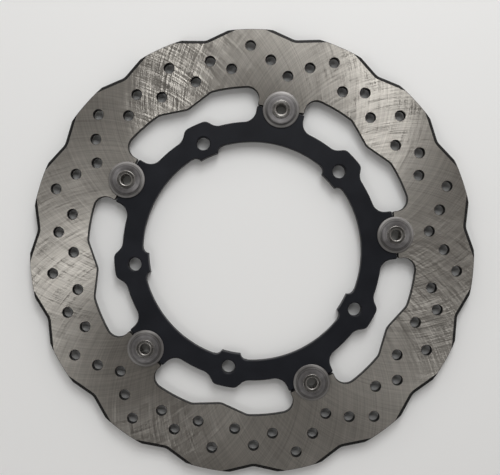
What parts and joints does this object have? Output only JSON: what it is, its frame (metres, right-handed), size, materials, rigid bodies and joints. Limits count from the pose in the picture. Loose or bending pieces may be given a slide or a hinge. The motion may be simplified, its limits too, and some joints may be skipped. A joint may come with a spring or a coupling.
{
  "type": "floating brake disc",
  "caption": "Floating motorcycle brake disc: wave-edged drilled steel rotor held to a black five-bolt aluminium carrier by hollow rivet buttons.",
  "frame": {"origin": "centre of the bolt circle, in the plane of the carrier's hub face", "axes": "+Z along the wheel axis towards the outer side of the disc; +Y through button 1; a bolt hole on -Y"},
  "size_m": [0.282, 0.2812, 0.0092],
  "materials": {
    "ground_steel": "rotary ground stainless steel, black oxide on cut edges",
    "black_anodised": "satin black anodised",
    "bright_steel": "turned steel",
    "spring_steel": "dull spring steel",
    "washer_steel": "stamped steel, lightly scratched"
  },
  "bodies": {
    "carrier": {"carrier": "black_anodised"},
    "rotor": {"rotor": "ground_steel"},
    "bobbin_1": {"bobbin_1": "bright_steel", "cap_washer_1": "washer_steel", "spring_washer_1": "spring_steel"},
    "bobbin_2": {"bobbin_2": "bright_steel", "cap_washer_2": "washer_steel", "spring_washer_2": "spring_steel"},
    "bobbin_3": {"bobbin_3": "bright_steel", "cap_washer_3": "washer_steel", "spring_washer_3": "spring_steel"},
    "bobbin_4": {"bobbin_4": "bright_steel", "cap_washer_4": "washer_steel", "spring_washer_4": "spring_steel"},
    "bobbin_5": {"bobbin_5": "bright_steel", "cap_washer_5": "washer_steel", "spring_washer_5": "spring_steel"}
  },
  "joints": [
    {"name": "rotor_float", "type": "slide", "parent": "carrier", "child": "rotor", "axis": [0, 0, 1], "range_m": [0, 0.0003], "stiffness_N_per_m": 100000, "springref_m": -0.001, "deforming": ["spring_washer_1", "spring_washer_2", "spring_washer_3", "spring_washer_4", "spring_washer_5"]},
    {"name": "button_1_spin", "type": "hinge", "parent": "carrier", "child": "bobbin_1", "pos_m": [0, 0.0915, 0.00385], "axis": [0, 0, 1], "continuous": true},
    {"name": "button_2_spin", "type": "hinge", "parent": "carrier", "child": "bobbin_2", "pos_m": [0.08702, 0.02828, 0.00385], "axis": [0, 0, 1], "continuous": true},
    {"name": "button_3_spin", "type": "hinge", "parent": "carrier", "child": "bobbin_3", "pos_m": [0.05378, -0.07402, 0.00385], "axis": [0, 0, 1], "continuous": true},
    {"name": "button_4_spin", "type": "hinge", "parent": "carrier", "child": "bobbin_4", "pos_m": [-0.05378, -0.07402, 0.00385], "axis": [0, 0, 1], "continuous": true},
    {"name": "button_5_spin", "type": "hinge", "parent": "carrier", "child": "bobbin_5", "pos_m": [-0.08702, 0.02828, 0.00385], "axis": [0, 0, 1], "continuous": true}
  ]
}
